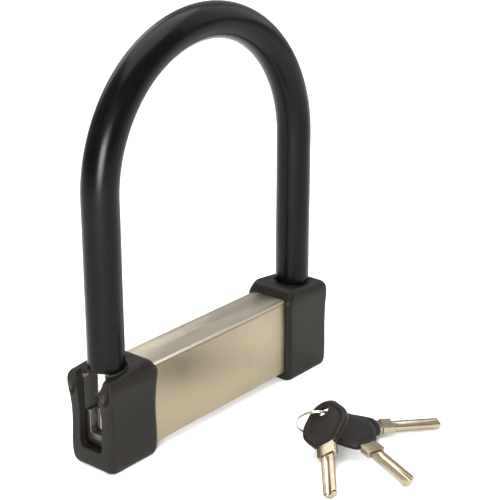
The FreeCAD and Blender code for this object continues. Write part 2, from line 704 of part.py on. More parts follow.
def keyway_plate(name, radius, low, thick, notch):
    """A round plate with the half-round keyway through it, and perhaps the sidebar's notch."""
    below, above = low - d["overrun"], low + thick + d["overrun"]
    plate = cylinder(f"{name}_plate", (0, 0), radius, low, low + thick)
    round_hole = cylinder(f"{name}_hole", (0, 0), d["keyway_radius"], below, above)
    beyond = d["keyway_radius"] + 2
    flat = box(f"{name}_flat", (d["keyway_flat"], -beyond, below - 1), (beyond, beyond, above + 1))
    tools = [cut(f"{name}_keyway", round_hole, flat)]
    if notch:
        half = d["sidebar_half"] + d["turn_gap"] * 3
        tools.append(box(f"{name}_notch", (-half, d["sidebar_inner"] - d["turn_gap"] * 3, below),
                         (half, d["plug_radius"], above)))
    return cut(name, plate, *tools)


def disc_pack():
    """The hardened entry disc, the detainer discs and the washers between them."""
    thick = d["disc_thick"]
    keep(keyway_plate("guard_disc", d["disc_bore"] - d["turn_gap"], d["plug_low"] + 0.15, thick, notch=False),
         "drill_guard_disc")
    discs, washers = [], []
    for number in range(DISCS):
        low = d["disc_low"] + d["disc_pitch"] * number
        discs.append(keyway_plate(f"disc_{number}", d["disc_radius"], low, thick, notch=True))
        if number < DISCS - 1:
            washers.append(keyway_plate(f"washer_{number}", d["washer_radius"], low + thick + d["fit_gap"],
                                        d["disc_pitch"] - thick - d["fit_gap"] * 2, notch=False))
    keep(group("disc_group", discs), "detainer_discs")
    keep(group("washer_group", washers), "spacer_washers")


def sidebar():
    """Hardened bar that lies in the discs' notches and lets the plug turn."""
    half = d["sidebar_half"]
    keep(box("sidebar_bar", (-half, d["sidebar_inner"], d["sidebar_low"]),
             (half, d["sidebar_outer"], d["sidebar_high"])), "sidebar")


def plug_circlip():
    """Open spring ring that keeps the plug in the housing."""
    low, high, outer = d["circlip_low"], d["circlip_low"] + d["circlip_thick"], d["circlip_outer"]
    ring = cylinder("circlip_ring", (0, 0), outer, low, high)
    hole = cylinder("circlip_hole", (0, 0), d["circlip_inner"], low - 1, high + 1)
    mouth = box("circlip_mouth", (-outer - 1, outer * -0.4, low - 1), (as_size(0), outer * 0.4, high + 1))
    keep(cut("circlip_done", ring, hole, mouth), "plug_circlip")


def drive_pinion():
    """Twelve-toothed pinion on the plug's square tail."""
    body = new_body("pinion")
    low, thick = d["fork_low"] - d["fit_gap"], d["fork_thick"] + d["fit_gap"] * 2
    blank = sketch_on(body, "XY_Plane", "pinion_blank", low)
    circle(blank, (0, 0), d["pitch_radius"] - d["tooth_depth"] * 1.4)
    pad(body, blank, "pinion_hub", thick)
    tooth = sketch_on(body, "XY_Plane", "pinion_tooth", low)
    pitch, tip = d["pitch_radius"], d["pitch_radius"] + d["tooth_depth"]
    root = pitch - d["tooth_depth"] * 1.7
    root_half, pitch_half, tip_half = as_size(1.15), as_size(0.66), as_size(0.3)
    outline(tooth, [(-root_half, root), (root_half, root), (pitch_half, pitch), (tip_half, tip),
                    (-tip_half, tip), (-pitch_half, pitch)])
    first = pad(body, tooth, "pinion_tooth_pad", thick)
    doc.recompute()
    ring = body.newObject("PartDesign::PolarPattern", "pinion_teeth")
    ring.Originals = [first]
    ring.Axis = ([f for f in body.Origin.OriginFeatures if f.Role == "Z_Axis"][0], [""])
    ring.Angle = 360
    ring.Occurrences = PINION_TEETH
    body.Tip = ring
    hole = sketch_on(body, "XY_Plane", "pinion_square", d["fork_low"] + 5)
    side = d["tail_half"] + 0.03
    outline(hole, [(side, -side), (side, side), (-side, side), (-side, -side)])
    pocket(body, hole, "pinion_square_cut", as_size(10))
    keep(body, "drive_pinion")


def fork_bolt(label, twin):
    """Flat bolt: a rack beside the pinion, and a fork that slides into the foot's groove."""
    body = new_body(label)
    plan = sketch_on(body, "XY_Plane", "bolt_plan", d["fork_low"])
    leg, gap, half, outer = d["leg_half"], d["fork_gap"], d["fork_half"], d["rack_outer"]
    tips, seat = leg - d["fork_tip"], leg - d["fork_throw"]
    root = -d["pitch_radius"] - d["tooth_depth"] * 1.5
    shoulder = seat - gap
    inner_end = d["tooth_pitch"] * -5.05
    outline(plan, [
        (shoulder - 5, -outer),
        (shoulder - 2, -half),
        (tips, -half),
        (tips, -gap),
        (seat, -gap),
        (seat, gap, shoulder, as_size(0)),
        (tips, gap),
        (tips, half),
        (shoulder - 8, half),
        (shoulder - 12, half - 4),
        (shoulder - 12, root),
        (inner_end, root),
        (inner_end, -outer),
    ])
    pad(body, plan, "bolt_plate", d["fork_thick"])
    tooth = sketch_on(body, "XY_Plane", "rack_tooth", d["fork_low"])
    start, tip = d["tooth_pitch"] * -4.5, -d["pitch_radius"] + d["tooth_depth"]
    base, root_half, tip_half = root - 0.2, 1.05, 0.33
    outline(tooth, [(start - root_half, base), (start + root_half, base), (start + tip_half, tip),
                    (start - tip_half, tip)])
    first = pad(body, tooth, "rack_tooth_pad", d["fork_thick"])
    doc.recompute()
    rack = body.newObject("PartDesign::LinearPattern", "rack_teeth")
    rack.Originals = [first]
    rack.Direction = ([f for f in body.Origin.OriginFeatures if f.Role == "X_Axis"][0], [""])
    rack.Occurrences = RACK_TEETH
    bind(rack, "Length", d["tooth_pitch"] * (RACK_TEETH - 1))
    body.Tip = rack
    if twin:
        half_turn(body)
    keep(body, label)


# ---------------------------------------------------------------- dust cover

def dust_cover():
    """Thin plate that swings over the keyhole, and the rivet it turns on."""
    body = new_body("dust_cover")
    plan = sketch_on(body, "XY_Plane", "cover_plan", d["dust_high"] - d["dust_thick"])
    lid, ear, pivot = d["lid_radius"], d["ear_radius"], d["pivot_place"]
    lean = math.acos((lid.value - ear.value) / pivot.value)
    along, across = math.cos(lean), math.sin(lean)
    outline(plan, [
        (pivot + ear * along, ear * across, pivot + ear, as_size(0)),
        (lid * along, lid * across),
        (lid * along, -lid * across, -lid, as_size(0)),
        (pivot + ear * along, -ear * across),
    ])
    circle(plan, (pivot, 0), d["rivet_radius"] + d["turn_gap"])
    pad(body, plan, "cover_pad", d["dust_thick"])
    keep(body, "keyhole_cover")
    low = d["dust_high"] - d["dust_thick"] - d["fit_gap"]
    head = cylinder("rivet_head", (pivot, 0), d["rivet_head"], low - 0.8, low)
    shank = cylinder("rivet_shank", (pivot, 0), d["rivet_radius"], low, d["rivet_tip"])
    keep(fuse("rivet", [head, shank]), "cover_rivet")


# ---------------------------------------------------------------- shackle

def half_ring(name, radius):
    """Upper half of the shackle's bend, as a bent round bar."""
    thing = doc.addObject("Part::Torus", name)
    bind(thing, "Radius1", d["leg_half"])
    bind(thing, "Radius2", radius)
    thing.Angle3 = 180
    thing.Placement = FreeCAD.Placement(V(0, 0, 0), FreeCAD.Rotation(V(1, 0, 0), 90))
    bind(thing, "Placement.Base.z", d["arc_height"])
    return thing


def bent_bar(name, radius, low):
    """The bend with two straight legs down to a height."""
    legs = [cylinder(f"{name}_leg_{number}", (d["leg_half"] * side, 0), radius, low, d["arc_height"])
            for number, side in enumerate((-1, 1))]
    return [half_ring(f"{name}_bend", radius), *legs]


def shackle_bar():
    """Hardened bar with a turned, grooved and bevelled foot at each end."""
    pieces = bent_bar("rod", d["rod_radius"], d["shoulder_height"])
    bevel = d["tip_low"] + d["tip_bevel"]
    for number, side in enumerate((-1, 1)):
        spot = (d["leg_half"] * side, 0)
        pieces += [
            cylinder(f"foot_{number}", spot, d["foot_radius"], d["groove_high"], d["shoulder_height"]),
            cylinder(f"neck_{number}", spot, d["neck_radius"], d["groove_low"], d["groove_high"]),
            cylinder(f"tip_{number}", spot, d["tip_radius"], bevel, d["groove_low"]),
            cone(f"bevel_{number}", spot, d["tip_radius"] - d["tip_bevel"], d["tip_radius"], d["tip_low"],
                 bevel),
        ]
    keep(fuse("shackle", pieces), "shackle_bar")


def shackle_sleeve():
    """Vinyl sleeve drawn over the whole bar."""
    outside = fuse("sleeve_outside", bent_bar("outside", d["sleeve_radius"], d["sleeve_low"]))
    inside = fuse("sleeve_inside", bent_bar("inside", d["sleeve_bore"], d["sleeve_low"] - 1))
    keep(cut("sleeve", outside, inside), "shackle_sleeve")


# ---------------------------------------------------------------- keys

def key_pieces(label, placement):
    """A moulded head and a half-round steel blade. The key's own origin is its ring hole, and its
    shaft points along its own X axis."""
    thick, long, wide = d["key_thick"], d["head_long"], d["head_wide"] * 0.5
    head = new_body(f"{label}_head")
    plan = sketch_on(head, "XY_Plane", f"{label}_plan", thick * -0.5)
    back = d["head_back"]
    outline(plan, [
        (long * 0.03, wide * 0.72, -back, as_size(0)),
        (long * 0.4, wide, long * 0.18, wide * 0.91),
        (long * 0.62, wide * 0.9, long * 0.52, wide * 0.98),
        (long - 1, wide * 0.5),
        (long - 1, -wide * 0.5, long, as_size(0)),
        (long * 0.62, -wide * 0.9),
        (long * 0.4, -wide, long * 0.52, -wide * 0.98),
        (long * 0.03, -wide * 0.72, long * 0.18, -wide * 0.91),
    ])
    circle(plan, (0, 0), d["ring_hole"])
    pad(head, plan, f"{label}_head_pad", thick)
    tang_half, tang_thick, tang_start = d["collar_half"] - 0.7, d["tang_half_thick"], long - 9
    seat = sketch_on(head, "YZ_Plane", f"{label}_seat", long + 3)
    outline(seat, [(tang_half, -tang_thick), (tang_half, tang_thick), (-tang_half, tang_thick),
                   (-tang_half, -tang_thick)])
    pocket(head, seat, f"{label}_seat_cut", as_size(12))
    head.Placement = placement
    keep(head, f"{label}_head")

    play, collar_start, shaft_start = d["turn_gap"], long + d["fit_gap"], long + d["collar_long"]
    shaft_end, flat_high = shaft_start + d["key_shaft_long"], d["key_shaft"] + 1
    collar_thick = d["collar_half_thick"]
    tang = box(f"{label}_tang", (tang_start + play, play - tang_half, play - tang_thick),
               (collar_start + 1, tang_half - play, tang_thick - play))
    collar = box(f"{label}_collar", (collar_start, -d["collar_half"], -collar_thick),
                 (shaft_start, d["collar_half"], collar_thick))
    rod = doc.addObject("Part::Cylinder", f"{label}_rod")
    bind(rod, "Radius", d["key_shaft"])
    bind(rod, "Height", d["key_shaft_long"])
    rod.Placement = FreeCAD.Placement(V(0, 0, 0), FreeCAD.Rotation(V(0, 1, 0), 90))
    bind(rod, "Placement.Base.x", shaft_start)
    flat = box(f"{label}_flat", (shaft_start - 1, -flat_high, d["shaft_flat"]),
               (shaft_end + 1, flat_high, flat_high))
    blade = fuse(f"{label}_blade_raw", [tang, collar, cut(f"{label}_shaft", rod, flat)])
    blade.Placement = placement
    keep(blade, f"{label}_blade")


def key_bunch():
    """Three keys on a leaning split ring, lying on the floor in front of the lock."""
    lean = math.radians(RING_LEAN)
    ring = doc.addObject("Part::Torus", "ring")
    bind(ring, "Radius1", d["ring_radius"])
    bind(ring, "Radius2", d["ring_wire"])
    turn = FreeCAD.Rotation(RING_YAW, 0, 180 - RING_LEAN)
    ring.Placement = FreeCAD.Placement(V(0, 0, 0), turn)
    height = d["cap_low"] + d["ring_wire"] + d["ring_radius"] * math.sin(lean)
    place(ring, (d["ring_along"], d["ring_across"], height))
    keep(ring, "split_ring")
    centre = V(d["ring_along"].value, d["ring_across"].value, height.value)
    reach = (d["head_long"] + d["collar_long"] + d["key_shaft_long"]).value
    for label, (ring_angle, yaw, roll) in KEYS.items():
        angle = math.radians(ring_angle)
        radius = d["ring_radius"].value
        hole = centre + turn.multVec(V(radius * math.cos(angle), radius * math.sin(angle), 0))
        drop = hole.z - d["cap_low"].value - d["key_shaft"].value
        pitch = math.degrees(math.asin(drop / reach))
        key_pieces(label, FreeCAD.Placement(hole, FreeCAD.Rotation(yaw, pitch, roll)))


# ---------------------------------------------------------------- build, check and write

def build():
    housing_tube()
    for label, twin in (("right", False), ("left", True)):
        end_cap(f"{label}_end_cap", twin)
        leg_guide(f"{label}_leg_guide", twin)
        socket_block(f"{label}_socket_block", twin)
        fork_bolt(f"{label}_fork_bolt", twin)
    end_screws()
    chassis()
    mechanism_cover()
    cylinder_housing()
    keyhole_bezel()
    cylinder_plug()
    disc_pack()
    sidebar()
    plug_circlip()
    drive_pinion()
    dust_cover()
    shackle_bar()
    shackle_sleeve()
    key_bunch()


def check():
    """Stop unless every object computed and every sub-part is a sound shape."""
    doc.recompute()
    for thing in doc.Objects:
        if "Invalid" in thing.State or "Error" in thing.State:
            raise RuntimeError(f"{thing.Name} failed: {thing.State}")
    for part in parts:
        if part.Shape.isNull() or not part.Shape.isValid():
            raise RuntimeError(f"{part.Label} is not a sound shape")
        print(f"{part.Label:22s} solids {len(part.Shape.Solids)}  volume {part.Shape.Volume:9.1f} mm3")


build()
check()
os.makedirs("parts", exist_ok=True)
for part in parts:
    part.Shape.exportStep(f"parts/{part.Label}.step")
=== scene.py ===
"""Looks of the u lock: a sleeved steel shackle in a stainless crossbar with black end caps, and its keys."""
import json
import math

import bmesh
import bpy
from mathutils import Euler, Matrix, Vector


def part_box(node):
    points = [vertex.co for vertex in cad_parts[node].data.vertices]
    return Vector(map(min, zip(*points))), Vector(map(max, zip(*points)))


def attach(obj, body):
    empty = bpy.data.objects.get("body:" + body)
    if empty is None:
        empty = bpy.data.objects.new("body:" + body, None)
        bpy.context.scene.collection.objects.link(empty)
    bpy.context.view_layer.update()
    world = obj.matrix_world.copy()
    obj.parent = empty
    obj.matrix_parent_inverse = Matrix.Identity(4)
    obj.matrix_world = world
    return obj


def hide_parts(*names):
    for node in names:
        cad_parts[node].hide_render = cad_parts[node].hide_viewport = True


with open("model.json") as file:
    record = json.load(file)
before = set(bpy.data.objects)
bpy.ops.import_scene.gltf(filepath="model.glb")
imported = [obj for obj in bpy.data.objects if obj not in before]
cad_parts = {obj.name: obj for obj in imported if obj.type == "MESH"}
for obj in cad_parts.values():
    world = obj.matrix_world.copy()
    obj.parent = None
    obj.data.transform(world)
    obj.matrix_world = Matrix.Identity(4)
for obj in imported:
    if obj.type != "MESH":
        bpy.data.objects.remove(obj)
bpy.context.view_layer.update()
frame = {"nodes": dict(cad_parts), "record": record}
nodes = frame["nodes"]
record = frame["record"]
MM = 0.001

# ---------------------------------------------------------------- places, in millimetres, all from the frame

def box_mm(node):
    """A node's lowest and highest corners at rest."""
    return [Vector(corner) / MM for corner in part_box(node)]


sleeve_low, sleeve_high = box_mm("shackle_sleeve")
SLEEVE = sleeve_high.y
LEG = sleeve_high.x - SLEEVE
ARC_HEIGHT = sleeve_high.z - SLEEVE - LEG
cap_low, cap_high = box_mm("right_end_cap")
tube_low, tube_high = box_mm("housing_tube")
bar_low = box_mm("shackle_bar")[0]
FLOOR = cap_low.z

# sizes that the boxes don't give, the same as the CAD pieces have
SLEEVE_BORE = 8.05
BAR_RADIUS = 8
TUBE_WALL = 2
TUBE_CORNER = 2.4
NOTCH_HALF = 8.4
BEZEL_HOLE = 8.1
RIVET_PLACE, RIVET_HOLE = 14, 1.6
CHASSIS_SCREW_PLACE, CHASSIS_SCREW_HEAD, CHASSIS_SCREW_SHANK = 22, 3.25, 1.55
END_SCREW_PLACE, END_SCREW_HOLE, END_SCREW_RECESS, RECESS_DEEP = 68, 2.2, 4.4, 3
END_WALL_START = 90.7
SEAT_GAP = 0.1
LEG_HOLE = 11
SLOT_HALF, SLOT_LOW, SLOT_CORNER = 8.25, 7.4, 2
SLOT_FLARE, SLOT_FLARE_LOW, SLOT_FLARE_HIGH = 2.1, 44.8, 50.3
# how far a cutting solid reaches past the face that it cuts
CLEAR = 1

slot_of = {row["node"]: row["material_slot"] for row in record["subparts"]}
body_of = {node: body for body, names in record["behaviour"]["bodies"].items() for node in names}


# ---------------------------------------------------------------- materials

class Shader:
    """A material's node tree, with short ways to add and join nodes."""

    def __init__(self, name):
        self.material = bpy.data.materials.new(name)
        self.material.use_nodes = True
        self.tree = self.material.node_tree
        self.surface = self.tree.nodes["Principled BSDF"]
        self.place = self.add("ShaderNodeTexCoord").outputs["Object"]

    def add(self, kind, **inputs):
        node = self.tree.nodes.new(kind)
        for name, value in inputs.items():
            self.feed(node.inputs[name.replace("_", " ")], value)
        return node

    def feed(self, socket, value):
        if isinstance(value, bpy.types.NodeSocket):
            self.tree.links.new(value, socket)
        else:
            socket.default_value = value

    def set(self, **inputs):
        for name, value in inputs.items():
            self.feed(self.surface.inputs[name.replace("_", " ")], value)

    def noise(self, scale, detail=4.0, roughness=0.5, stretch=(1, 1, 1)):
        """A cloud of noise, with features about 1/scale metres across, from 0 to 1."""
        mapping = self.add("ShaderNodeMapping", Vector=self.place)
        mapping.inputs["Scale"].default_value = stretch
        cloud = self.add("ShaderNodeTexNoise", Vector=mapping.outputs["Vector"], Scale=scale, Detail=detail,
                         Roughness=roughness)
        return cloud.outputs["Fac"]

    def spread(self, value, low, high, start=0.3, end=0.7):
        """A value that goes from low to high while the given one goes from start to end."""
        node = self.add("ShaderNodeMapRange", Value=value)
        for socket, number in (("From Min", start), ("From Max", end), ("To Min", low), ("To Max", high)):
            node.inputs[socket].default_value = number
        return node.outputs["Result"]

    def mix(self, factor, first, second):
        """The first colour where the factor is 0, the second where it is 1."""
        node = self.tree.nodes.new("ShaderNodeMix")
        node.data_type = "RGBA"
        sockets = {socket.identifier: socket for socket in [*node.inputs, *node.outputs]}
        for name, value in (("Factor_Float", factor), ("A_Color", first), ("B_Color", second)):
            self.feed(sockets[name], value)
        return sockets["Result_Color"]

    def bump(self, height, depth_mm, before=None):
        """A normal for a height between 0 and 1 that is this deep."""
        node = self.add("ShaderNodeBump", Height=height, Strength=1.0, Distance=depth_mm * MM)
        if before is not None:
            self.feed(node.inputs["Normal"], before)
        return node.outputs["Normal"]

    def slope(self, along, high, cloud, blur):
        """A value that grows by so much per metre along X and Z, blurred by a cloud."""
        parts = self.add("ShaderNodeSeparateXYZ", Vector=self.place)
        total = 0.0
        for value, factor in ((parts.outputs["X"], along), (parts.outputs["Z"], high), (cloud, blur)):
            total = self.scaled(value, factor, total)
        return total

    def scaled(self, value, factor, plus):
        node = self.tree.nodes.new("ShaderNodeMath")
        node.operation = "MULTIPLY_ADD"
        for number, given in enumerate((value, factor, plus)):
            self.feed(node.inputs[number], given)
        return node.outputs[0]

    def upward(self):
        """1 on faces that look up, 0 on upright ones."""
        normal = self.tree.nodes.new("ShaderNodeNewGeometry").outputs["Normal"]
        return self.spread(self.add("ShaderNodeSeparateXYZ", Vector=normal).outputs["Z"], 0, 1, 0.6, 0.95)

    def edges(self):
        """0 on flat faces and 1 along sharp outer edges."""
        pointed = self.tree.nodes.new("ShaderNodeNewGeometry").outputs["Pointiness"]
        return self.spread(pointed, 0, 1, 0.5, 0.58)


def colour(red, green, blue):
    return (red, green, blue, 1)


def brushed_stainless():
    """Stainless sheet, brushed along the bar, with handling smudges. Its colour holds a painted reflection,
    darker towards the left end and up the front, and a paler, greyer painted sheen on faces that look up.
    """
    s = Shader("brushed_stainless")
    lines = s.noise(2200, 5, 0.65, (0.012, 1, 1))
    fine = s.noise(5200, 2, 0.5, (0.008, 1, 1))
    clouds = s.noise(16, 3, 0.55, (0.6, 1, 1.2))
    smudges = s.noise(75, 5, 0.6)
    # painted reflection: the colour darkens towards the left end and upwards and lightens to the right and
    # down, with a cloudy soft boundary
    reflection_slope = s.slope(3.2, -11, clouds, 0.9)
    painted_reflection_tone = s.mix(s.spread(reflection_slope, 0, 1, -0.12, 0.42), colour(0.252, 0.211, 0.146), colour(0.300, 0.250, 0.168))
    # painted sheen: faces that look up get a paler, greyer colour than the upright ones
    tone_with_painted_top_sheen = s.mix(s.upward(), painted_reflection_tone, colour(0.37, 0.335, 0.275))
    streaked = s.mix(s.spread(lines, 0, 0.30), tone_with_painted_top_sheen, colour(0.24, 0.205, 0.15))
    s.set(Base_Color=s.mix(s.spread(smudges, 0, 0.22, 0.5, 0.75), streaked, colour(0.25, 0.215, 0.16)))
    s.set(Metallic=1.0, Roughness=s.spread(smudges, 0.31, 0.42), Anisotropic=0.45)
    s.set(Normal=s.bump(fine, 0.004, s.bump(lines, 0.010)))
    return s.material


def moulded_plastic(name, dark, light, roughness):
    """Moulded black plastic: a fine spark-eroded grain, rubbed patches and slightly paler edges."""
    s = Shader(name)
    grain = s.noise(1700, 5, 0.65)
    rub = s.noise(55, 5, 0.6)
    patches = s.mix(s.spread(rub, 0, 1), colour(*dark), colour(*light))
    pale = colour(*(channel * 1.9 for channel in light))
    s.set(Base_Color=s.mix(s.spread(s.edges(), 0, 0.5, 0, 1), patches, pale))
    s.set(Roughness=s.spread(rub, roughness - 0.05, roughness + 0.06), Specular_IOR_Level=0.12)
    s.set(Normal=s.bump(grain, 0.03, s.bump(s.noise(160, 2), 0.02)))
    return s.material


def sleeve_vinyl():
    """Black vinyl, smooth and softly glossy, with a faint skin texture and dull handling marks."""
    s = Shader("sleeve_vinyl")
    skin = s.noise(750, 5, 0.6)
    marks = s.noise(38, 6, 0.65)
    scuffs = s.noise(420, 3, 0.7, (1, 1, 0.25))
    body = s.mix(s.spread(marks, 0, 1), colour(0.0010, 0.0010, 0.0009), colour(0.0020, 0.0020, 0.0018))
    s.set(Base_Color=s.mix(s.spread(scuffs, 0, 0.25, 0.62, 0.75), body, colour(0.02, 0.02, 0.019)))
    s.set(Roughness=s.spread(marks, 0.21, 0.29), Specular_IOR_Level=0.10)
    s.set(Normal=s.bump(skin, 0.012, s.bump(s.noise(30, 2), 0.10)))
    return s.material


def steel(name, tone, roughness, stain, turned):
    """Bare metal with stains. Turned pieces have fine tool marks round the Z axis."""
    s = Shader(name)
    marks = s.noise(2600, 3, 0.55, (0.03, 0.03, 1) if turned else (1, 1, 1))
    stains = s.noise(110, 5, 0.6)
    darker = colour(*(channel * stain for channel in tone))
    s.set(Base_Color=s.mix(s.spread(stains, 0, 1), colour(*tone), darker), Metallic=1.0)
    s.set(Roughness=s.spread(stains, roughness * 0.8, roughness * 1.25))
    s.set(Normal=s.bump(marks, 0.006 if turned else 0.003))
    return s.material


# each plastic's darker and lighter colour, and its roughness
PLASTICS = {
    "cap_plastic": ((0.0050, 0.0042, 0.0029), (0.0080, 0.0068, 0.0048), 0.46),
    "key_plastic": ((0.0048, 0.0039, 0.0034), (0.0080, 0.0066, 0.0058), 0.42),
    "cover_plastic": ((0.012, 0.012, 0.012), (0.020, 0.020, 0.020), 0.5),
    "black_rubber": ((0.010, 0.010, 0.010), (0.016, 0.016, 0.015), 0.6),
}
# each metal's colour, its roughness, how dark its stains are, and whether it is turned on a lathe
METALS = {
    "foot_steel": ((0.62, 0.59, 0.55), 0.22, 0.85, True),
    "mill_steel": ((0.12, 0.116, 0.108), 0.42, 0.75, False),
    "screw_steel": ((0.55, 0.54, 0.52), 0.3, 0.75, True),
    "hard_steel": ((0.36, 0.36, 0.36), 0.32, 0.75, False),
    "zinc": ((0.42, 0.42, 0.43), 0.5, 0.75, False),
    "brass": ((0.72, 0.55, 0.27), 0.28, 0.75, True),
    "disc_brass": ((0.70, 0.53, 0.28), 0.35, 0.75, False),
    "ring_nickel": ((0.42, 0.39, 0.33), 0.18, 0.75, False),
    "key_nickel": ((0.37, 0.315, 0.225), 0.20, 0.7, False),
}
MATERIALS = {"stainless": brushed_stainless(), "sleeve_vinyl": sleeve_vinyl()}
MATERIALS.update({slot: moulded_plastic(slot, *finish) for slot, finish in PLASTICS.items()})
MATERIALS.update({slot: steel(slot, *finish) for slot, finish in METALS.items()})


def dress(thing, slot):
    """Give a piece the finish of one material slot."""
    thing.data.materials.clear()
    thing.data.materials.append(MATERIALS[slot])


for name, node in nodes.items():
    dress(node, slot_of[name])


# ---------------------------------------------------------------- mesh helpers

def as_mesh(name, verts, faces):
    """A mesh from points in millimetres, with its normals outwards."""
    mesh = bpy.data.meshes.new(name)
    mesh.from_pydata([Vector(v) * MM for v in verts], [], faces)
    edit = bmesh.new()
    edit.from_mesh(mesh)
    bmesh.ops.recalc_face_normals(edit, faces=edit.faces)
    edit.to_mesh(mesh)
    edit.free()
    return mesh


def stand_in(name, mesh, node, sharp=35):
    """Show a mesh in the place of one CAD node, on its body and with its finish."""
    mesh.polygons.foreach_set("use_smooth", [True] * len(mesh.polygons))
    mesh.set_sharp_from_angle(angle=math.radians(sharp))
    thing = bpy.data.objects.new(name, mesh)
    bpy.context.scene.collection.objects.link(thing)
    dress(thing, slot_of[node])
    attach(thing, body_of[node])
    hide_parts(node)


def skin(rings, wrap=False):
    """Points and faces between rings of equal length. The last ring joins the first, or both are closed."""
    count = len(rings[0])
    verts = [spot for ring in rings for spot in ring]
    faces = []
    for row in range(len(rings) if wrap else len(rings) - 1):
        here, there = row * count, (row + 1) % len(rings) * count
        for column in range(count):
            beside = (column + 1) % count
            faces.append((here + column, here + beside, there + beside, there + column))
    if not wrap:
        faces.append(tuple(reversed(range(count))))
        faces.append(tuple(range((len(rings) - 1) * count, len(rings) * count)))
    return verts, faces


def three_point_arc(start, via, end, steps):
    """Points after the start, along the circle through three flat points, up to the end."""
    (ax, ay), (bx, by), (cx, cy) = start, via, end
    twist = 2 * (ax * (by - cy) + bx * (cy - ay) + cx * (ay - by))
    a, b, c = ax * ax + ay * ay, bx * bx + by * by, cx * cx + cy * cy
    x = (a * (by - cy) + b * (cy - ay) + c * (ay - by)) / twist
    y = (a * (cx - bx) + b * (ax - cx) + c * (bx - ax)) / twist
    radius = math.hypot(ax - x, ay - y)
    first, middle, last = (math.atan2(py - y, px - x) for px, py in (start, via, end))
    turn = (last - first) % math.tau
    if (middle - first) % math.tau > turn:
        turn -= math.tau
    angles = [first + turn * step / steps for step in range(1, steps + 1)]
    return [(x + radius * math.cos(angle), y + radius * math.sin(angle)) for angle in angles]


def outline(steps, arc_steps=8):
    """A closed flat loop. A step (x, y) is a line to there, and (x, y, via_x, via_y) is an arc."""
    points = []
    before = steps[-1][:2]
    for step in steps:
        points += three_point_arc(before, step[2:], step[:2], arc_steps) if len(step) == 4 else [step]
        before = step[:2]
    return points


def rounded_box(low, high, radius, arc_steps=8, left_radius=None):
    """A flat rectangle's outline with round corners, anticlockwise. The left ones may have their own radius."""
    (left, bottom), (right, top) = low, high
    turn = left_radius or radius
    bend, left_bend = (size * (1 - math.sqrt(0.5)) for size in (radius, turn))
    return outline([
        (right - radius, bottom),
        (right, bottom + radius, right - bend, bottom + bend),
        (right, top - radius),
        (right - radius, top, right - bend, top - bend),
        (left + turn, top),
        (left, top - turn, left + left_bend, top - left_bend),
        (left, bottom + turn),
        (left + turn, bottom, left + left_bend, bottom + left_bend),
    ], arc_steps)


def disc(centre, radius, steps=48):
    """A flat circle's points, anticlockwise."""
    angles = [math.tau * step / steps for step in range(steps)]
    return [(centre[0] + radius * math.cos(a), centre[1] + radius * math.sin(a)) for a in angles]


def prism(section, start, end, axis="Z"):
    """A straight solid of one outline along an axis."""
    spot = {"X": lambda p, along: (along, p[0], p[1]), "Z": lambda p, along: (p[0], p[1], along)}[axis]
    return skin([[spot(point, along) for point in section] for along in (start, end)])


def baked(thing):
    """An object's mesh with its modifiers applied. The object is thrown away."""
    graph = bpy.context.evaluated_depsgraph_get()
    mesh = bpy.data.meshes.new_from_object(thing.evaluated_get(graph), depsgraph=graph)
    bpy.data.objects.remove(thing)
    return mesh


def loose(name, mesh):
    """An object that only lives until it is baked."""
    thing = bpy.data.objects.new(name, mesh)
    bpy.context.scene.collection.objects.link(thing)
    return thing


def carve(mesh, solids):
    """The mesh with some solids, each of points and faces, cut out of it."""
    thing = loose(mesh.name, mesh)
    cutters = [loose(f"cutter_{number}", as_mesh("cutter", *solid)) for number, solid in enumerate(solids)]
    for cutter in cutters:
        step = thing.modifiers.new("cut", "BOOLEAN")
        step.solver = "EXACT"
        step.object = cutter
    cut = baked(thing)
    for cutter in cutters:
        bpy.data.objects.remove(cutter)
    return cut


def moulded(mesh, voxel_mm, rounds):
    """The mesh with its edges melted round, as a mould leaves them, and no more faces than it needs."""
    thing = loose(mesh.name, mesh)
    remesh = thing.modifiers.new("remesh", "REMESH")
    remesh.mode = "VOXEL"
    remesh.voxel_size = voxel_mm * MM
    smooth = thing.modifiers.new("melt", "SMOOTH")
    smooth.factor = 0.5
    smooth.iterations = rounds
    thin = thing.modifiers.new("thin", "DECIMATE")
    thin.ratio = 0.3
    return baked(thing)


def bevelled(mesh, width_mm):
    """The mesh with a small bevel on every sharp edge."""
    edit = bmesh.new()
    edit.from_mesh(mesh)
    bmesh.ops.remove_doubles(edit, verts=edit.verts, dist=1e-7)
    bmesh.ops.dissolve_limit(edit, angle_limit=math.radians(0.2), verts=edit.verts, edges=edit.edges)
    corners = [edge for edge in edit.edges
               if len(edge.link_faces) == 2 and edge.calc_face_angle(0) > math.radians(30)]
    bmesh.ops.bevel(edit, geom=corners, offset=width_mm * MM, segments=2, profile=0.5, affect="EDGES",
                    clamp_overlap=True)
    edit.to_mesh(mesh)
    edit.free()
    return mesh


def half_turned(verts):
    """Points turned half round the Z axis, to make the twin at the other end."""
    return [(-x, -y, z) for x, y, z in verts]


# ---------------------------------------------------------------- shackle

def along_shackle(distance, low):
    """Place and direction of the shackle's middle line, measured from the foot of its left leg."""
    straight = ARC_HEIGHT - low
    bend = math.pi * LEG
    if distance <= straight:
        return Vector((-LEG, 0, low + distance)), Vector((0, 0, 1))
    if distance >= straight + bend:
        return Vector((LEG, 0, ARC_HEIGHT - (distance - straight - bend))), Vector((0, 0, -1))
    angle = (distance - straight) / LEG
    place = Vector((-LEG * math.cos(angle), 0, ARC_HEIGHT + LEG * math.sin(angle)))
    return place, Vector((math.sin(angle), 0, math.cos(angle)))


def shackle_ring(distance, low, radius, around):
    """A ring of points round the shackle's middle line."""
    place, ahead = along_shackle(distance, low)
    across = Vector((0, 1, 0))
    side = ahead.cross(across)
    angles = [math.tau * step / around for step in range(around)]
    return [place + radius * (math.cos(a) * side + math.sin(a) * across) for a in angles]


